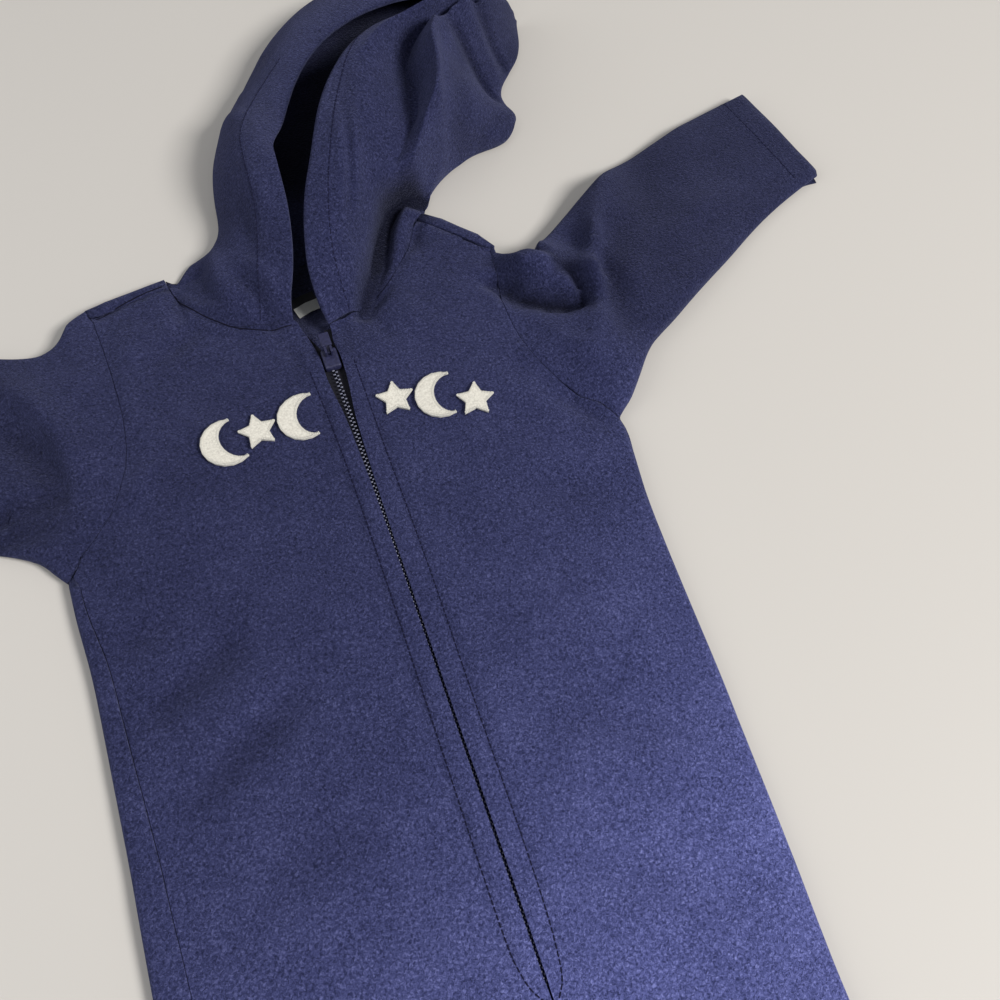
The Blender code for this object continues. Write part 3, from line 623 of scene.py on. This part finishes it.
# How the pieces meet at their seams. A point nearer than SEAM_FULL is drawn in all the way, and
# one further than its seam's reach isn't.
SEAM_LEFT = 0.3 * MM      # the room left between two pieces
SEAM_FULL = 3.6 * MM
SEAM_REACH = 13.0 * MM
NECK_REACH = 9.0 * MM
SHOULDER_REACH = 4.5 * MM
SHOULDER_FROM = 0.058     # the shoulder seam lies past this y
GUSSET_REACH = 7.0 * MM


def world_tree(objects):
    """One search tree over several pieces."""
    points, faces = [], []
    for obj in objects:
        start = len(points)
        points += [obj.matrix_world @ v.co for v in obj.data.vertices]
        faces += [[start + i for i in face.vertices] for face in obj.data.polygons]
    return BVHTree.FromPolygons(points, faces)


def meet(made, tree, nearby, high=-1.0):
    """Draws a piece's seam edge in, until it lies SEAM_LEFT from the cloth that it is sewn to.

    Only points past y = high, in metres, are drawn in.
    """
    for vertex in made.data.vertices:
        if vertex.co.y < high:
            continue
        spot, _, _, far = tree.find_nearest(vertex.co, nearby)
        if spot is None or far < SEAM_LEFT:
            continue
        ease = max(0.0, min(1.0, (far - SEAM_FULL) / (nearby - SEAM_FULL)))
        pull = 1 - ease * ease * (3 - 2 * ease)
        vertex.co += (spot - vertex.co) * ((far - SEAM_LEFT) / far * pull)


# Where the closed zip runs, in y, and how the fronts close over it
ZIP_TOP = -0.012
ZIP_BOTTOM = -0.334
ZIP_ROW = 0.003           # the edge is read in rows this far apart
ZIP_FADE = 0.12           # the gap closes over this length below ZIP_TOP
EDGE_FROM_ZIP = 0.7 * MM
PLACKET = 0.016           # how far out the cloth is drawn in


def narrow_zip(made, side):
    """Brings a front's inner edge to EDGE_FROM_ZIP of the zip's middle, below the slider."""
    points = read_points(made)
    out = points[:, 0] * side
    rows = np.arange(ZIP_BOTTOM, ZIP_TOP, ZIP_ROW)
    edge = np.array([
        out[np.abs(points[:, 1] - row) < ZIP_ROW].min() for row in rows
    ])
    here = np.interp(points[:, 1], rows, edge)
    fade = np.clip((ZIP_TOP - points[:, 1]) / ZIP_FADE, 0, 1)
    fade *= np.clip((points[:, 1] - ZIP_BOTTOM) / ZIP_ROW, 0, 1)
    spare = (here - EDGE_FROM_ZIP) * fade
    past = np.clip((out - here) / PLACKET, 0, 1)
    points[:, 0] -= side * spare * (1 - past) ** 2
    write_points(made, points)


def finish_cloth(made, name):
    """Gives a piece its fleece, and has it stand for its CAD solid."""
    made.data.materials.clear()
    made.data.materials.append(MATERIALS["navy_fleece"])
    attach(made, "root")
    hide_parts(name)


cloth = {}
for name in FLEECE:
    levels = 3 if name.startswith(("front", "hood")) else 2
    cloth[name] = grown(name, levels)
narrow_zip(cloth["front_right"], -1)
narrow_zip(cloth["front_left"], 1)
hood_tree = world_tree([cloth["hood_right"], cloth["hood_left"]])
for name in ("front_right", "front_left"):
    meet(cloth[name], hood_tree, NECK_REACH)
body_tree = world_tree([cloth["back"], cloth["front_right"], cloth["front_left"]])
for name in ("sleeve_right", "sleeve_left", "hood_right", "hood_left"):
    meet(cloth[name], body_tree, SEAM_REACH)
back_tree = world_tree([cloth["back"]])
arm_tree = world_tree([cloth["sleeve_right"], cloth["sleeve_left"]])
for name in ("front_right", "front_left"):
    meet(cloth[name], back_tree, SHOULDER_REACH, high=SHOULDER_FROM)
for name in ("front_right", "front_left", "back"):
    meet(cloth[name], arm_tree, GUSSET_REACH)
for name in FLEECE:
    crease_cloth(cloth[name])
    finish_cloth(cloth[name], name)
cloth_tree = world_tree(cloth.values())


# ---------------------------------------------------------------- stitches and zip teeth

# A bead's rings, as (place from one end at -1 to the other at 1, share of its thickness)
BEAD_RINGS = [(-1.0, 0.35), (-0.75, 0.9), (0.75, 0.9), (1.0, 0.35)]
BEAD_SIDES = 6
PATH_STEPS = 8            # the straight steps between two points of a smooth path
ABOVE = 0.2               # higher than any cloth

STITCH_PITCH_MM = 3.2
STITCH_LONG = 2.6 * MM
STITCH_THICK = 0.8 * MM
SEAM_LONG = 3.6 * MM
SEAM_THICK = 0.9 * MM

TOOTH_PITCH_MM = 2.6
TOOTH_START_MM = 5.0      # from the slider's middle to the first tooth
TOOTH_STAGGER = 0.25      # each row is moved this share of the pitch, one up and one down
TOOTH_WIDE = 1.5 * MM
TOOTH_THICK = 1.05 * MM
TOOTH_Z = 7.4 * MM
TOOTH_SIDE = 0.75 * MM
TEETH_END = 2.0 * MM      # the room left at the zip's lower end

SATIN_LONG = 1.5 * MM
SATIN_THICK = 0.62 * MM
SATIN_PITCH = 0.85 * MM
SATIN_INWARD = 0.3        # the share of a stitch's length that it lies in from the edge
FELT_MERGE = 0.01 * MM
TOP_FACE_Z = 0.8          # a face whose normal rises more than this is on top


def drop(x, y):
    """The cloth's top surface and its normal under a place in mm, or two Nones."""
    spot, normal, _, _ = cloth_tree.ray_cast(Vector((x * MM, y * MM, ABOVE)), -UP)
    return spot, normal


def even_places(path, pitch):
    """Places every pitch mm along a smooth path through points in mm, with their directions.

    The path is a Catmull-Rom spline through the points.
    """
    corners = [Vector((x, y, 0)) for x, y in path]
    ends = [corners[0] * 2 - corners[1]] + corners + [corners[-1] * 2 - corners[-2]]
    smooth = []
    for a, b, c, d in zip(ends, ends[1:], ends[2:], ends[3:]):
        for i in range(PATH_STEPS):
            t = i / PATH_STEPS
            smooth.append(0.5 * ((2 * b) + (c - a) * t + (2 * a - 5 * b + 4 * c - d) * t * t
                                 + (3 * b - a - 3 * c + d) * t**3))
    smooth.append(corners[-1])
    places, ahead = [], 0.0
    for a, b in zip(smooth, smooth[1:]):
        long = (b - a).length
        while ahead < long:
            places.append((a + (b - a) * (ahead / long), (b - a).normalized()))
            ahead += pitch
        ahead -= long
    return places


def add_bead(points, faces, middle, along, up, long, thick):
    """A rounded bead of thread or plastic, long and thick, lying along a direction."""
    side = up.cross(along).normalized()
    start = len(points)
    for step, scale in BEAD_RINGS:
        for i in range(BEAD_SIDES):
            turn = 2 * math.pi * i / BEAD_SIDES
            ring = side * math.cos(turn) + up * math.sin(turn)
            points.append(middle + along * (step * long / 2) + ring * (scale * thick / 2))
    for j in range(len(BEAD_RINGS) - 1):
        for i in range(BEAD_SIDES):
            a = start + j * BEAD_SIDES + i
            b = start + j * BEAD_SIDES + (i + 1) % BEAD_SIDES
            faces.append((a, b, b + BEAD_SIDES, a + BEAD_SIDES))
    faces.append(tuple(start + i for i in reversed(range(BEAD_SIDES))))
    last = start + (len(BEAD_RINGS) - 1) * BEAD_SIDES
    faces.append(tuple(last + i for i in range(BEAD_SIDES)))


def add_piece(name, points, faces, material):
    """A new piece of the garment from its points and faces."""
    data = bpy.data.meshes.new(name)
    data.from_pydata([tuple(p) for p in points], [], faces)
    data.shade_smooth()
    data.materials.append(MATERIALS[material])
    made = bpy.data.objects.new(name, data)
    bpy.context.scene.collection.objects.link(made)
    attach(made, "root")


# Lines of topstitching, as places in mm from the zip's slider
STITCH_LINES = {
    "zip_stitch_right": [(-13, -6), (-10.5, -60), (-10, -120), (-10.5, -200), (-11, -300),
                         (-9, -326), (-4, -337), (0, -339)],
    "zip_stitch_left": [(12, -6), (12, -60), (12.5, -130), (11.5, -200), (10.5, -290), (8, -326),
                        (4, -337), (0, -339)],
    "hood_hem_left": [(19, 26), (19, 52), (27, 84), (40, 118), (53, 148), (68, 172), (90, 196),
                      (118, 212)],
    "hood_hem_right": [(-30, 36), (-22, 64), (-14, 96), (-12, 126), (-8, 150), (8, 180),
                       (30, 206)],
    "cuff_stitch_left": [(295, 112), (303, 76), (311, 38)],
    "cuff_stitch_right": [(-309, 32), (-300, 70), (-291, 110)],
    "leg_stitch_left": [(13, -575), (60, -575), (112, -575)],
    "leg_stitch_right": [(-141, -575), (-90, -575), (-34, -575)],
}


def stitches(lines, long, thick, material):
    """Thread along each line, laid on the cloth."""
    for name, path in lines.items():
        points, faces = [], []
        for place, along in even_places(path, STITCH_PITCH_MM):
            spot, up = drop(place.x, place.y)
            if spot is None:
                continue
            ahead, _ = drop(place.x + along.x, place.y + along.y)
            way = (ahead - spot).normalized() if ahead else along
            add_bead(points, faces, spot, way, up, long, thick)
        add_piece(name, points, faces, material)


def zip_teeth():
    """Two rows of moulded navy teeth that mesh along the closed zip, painted paler as highlight
    dots.
    """
    points, faces = [], []
    across = Vector((1, 0, 0))
    rows = int(abs(ZIP_BOTTOM) / MM / TOOTH_PITCH_MM)
    for i in range(rows):
        for side in (-1, 1):
            down = TOOTH_START_MM + (i + TOOTH_STAGGER * side) * TOOTH_PITCH_MM
            y = -down * MM
            if y < ZIP_BOTTOM + TEETH_END:
                continue
            middle = Vector((side * TOOTH_SIDE, y, TOOTH_Z))
            add_bead(points, faces, middle, across, UP, TOOTH_WIDE, TOOTH_THICK)
    add_piece("zip_teeth", points, faces, "zip_teeth")


def rim_places(obj):
    """Places along the top outline of a flat felt shape, each with the way inward."""
    mesh = bmesh.new()
    mesh.from_mesh(obj.data)
    bmesh.ops.remove_doubles(mesh, verts=mesh.verts, dist=FELT_MERGE)
    places = []
    for edge in mesh.edges:
        if len(edge.link_faces) != 2 or edge.calc_face_angle(0) < SHARP:
            continue
        top = max(edge.link_faces, key=lambda face: face.normal.z)
        if top.normal.z < TOP_FACE_Z:
            continue
        a, b = (obj.matrix_world @ v.co for v in edge.verts)
        along = (b - a).normalized()
        inward = along.cross(UP)
        if inward.dot(obj.matrix_world @ top.calc_center_median() - a) < 0:
            inward = -inward
        count = max(1, round((b - a).length / SATIN_PITCH))
        for i in range(count):
            places.append((a + (b - a) * ((i + 0.5) / count), inward))
    mesh.free()
    return places


def satin_edges():
    """Close cream stitches over the cut edge of each felt shape."""
    for name, obj in frame["nodes"].items():
        if not name.startswith(FELT):
            continue
        points, faces = [], []
        for place, inward in rim_places(obj):
            middle = place + inward * SATIN_LONG * SATIN_INWARD
            add_bead(points, faces, middle, inward, UP, SATIN_LONG, SATIN_THICK)
        add_piece(name + "_satin", points, faces, "cream_thread")


stitches(STITCH_LINES, STITCH_LONG, STITCH_THICK, "navy_thread")
# a near-black line of painted shade along the drawn seams
stitches({name: SEAMS[name] for name in DRAWN_SEAMS}, SEAM_LONG, SEAM_THICK, "seam_shade")
zip_teeth()
satin_edges()


# ---------------------------------------------------------------- floor and the cloth's cut

FLOOR_SIZE = 12.0
FLOOR_COLOUR = (0.585, 0.558, 0.522)


def stage():
    """The plain pale floor."""
    bpy.ops.mesh.primitive_plane_add(size=FLOOR_SIZE, location=(0, 0, 0))
    floor = bpy.context.object
    floor.name = "floor"
    made, _, _ = new_material("floor", FLOOR_COLOUR, 0.6)
    floor.data.materials.append(made)


stage()

slots = {part["node"]: part["material_slot"] for part in frame["record"]["subparts"]}
for name, obj in frame["nodes"].items():
    if name in FLEECE:
        continue
    obj.data.materials.clear()
    obj.data.materials.append(MATERIALS[slots[name]])


# ---------------------------------------------------------------- light and camera

LIGHT_FIELDS = ("name", "at", "aim", "size", "watts", "colour")
LIGHTS = [
    ("key", (2.0, -1.75, 2.3), (0.0, -0.1, 0.0), 1.0, 126.0, (1.0, 0.985, 0.96)),
    ("fill", (-1.3, 0.0, 0.9), (0.0, 0.0, 0.0), 1.2, 7.0, (0.96, 0.98, 1.0)),
]
WORLD_COLOUR = (0.96, 0.97, 1.0, 1)
WORLD_STRENGTH = 0.34

LENS = 36.0
SENSOR = 36.0
CAMERA_AT = (-0.0351, -0.3189, 0.4771)
CAMERA_TURN = (25.8, -2.13, -20.06)   # degrees about x, y and z


def area_light(name, at, aim, size, watts, colour):
    """A square lamp that shines from one place to another."""
    data = bpy.data.lights.new(name, "AREA")
    data.shape = "SQUARE"
    data.size = size
    data.energy = watts
    data.color = colour
    made = bpy.data.objects.new(name, data)
    made.location = at
    made.rotation_euler = (Vector(aim) - Vector(at)).to_track_quat("-Z", "Y").to_euler()
    bpy.context.scene.collection.objects.link(made)


def lights():
    """The lamps and the pale sky round them."""
    for row in LIGHTS:
        area_light(**dict(zip(LIGHT_FIELDS, row)))
    world = bpy.data.worlds.new("studio")
    world.use_nodes = True
    back = world.node_tree.nodes["Background"]
    back.inputs["Color"].default_value = WORLD_COLOUR
    back.inputs["Strength"].default_value = WORLD_STRENGTH
    bpy.context.scene.world = world


def camera():
    data = bpy.data.cameras.new("camera")
    data.lens = LENS
    data.sensor_width = SENSOR
    data.clip_start = 0.01
    made = bpy.data.objects.new("camera", data)
    made.location = CAMERA_AT
    made.rotation_euler = [math.radians(turn) for turn in CAMERA_TURN]
    bpy.context.scene.collection.objects.link(made)
    bpy.context.scene.camera = made


lights()
camera()
bpy.context.scene.view_settings.view_transform = "Standard"
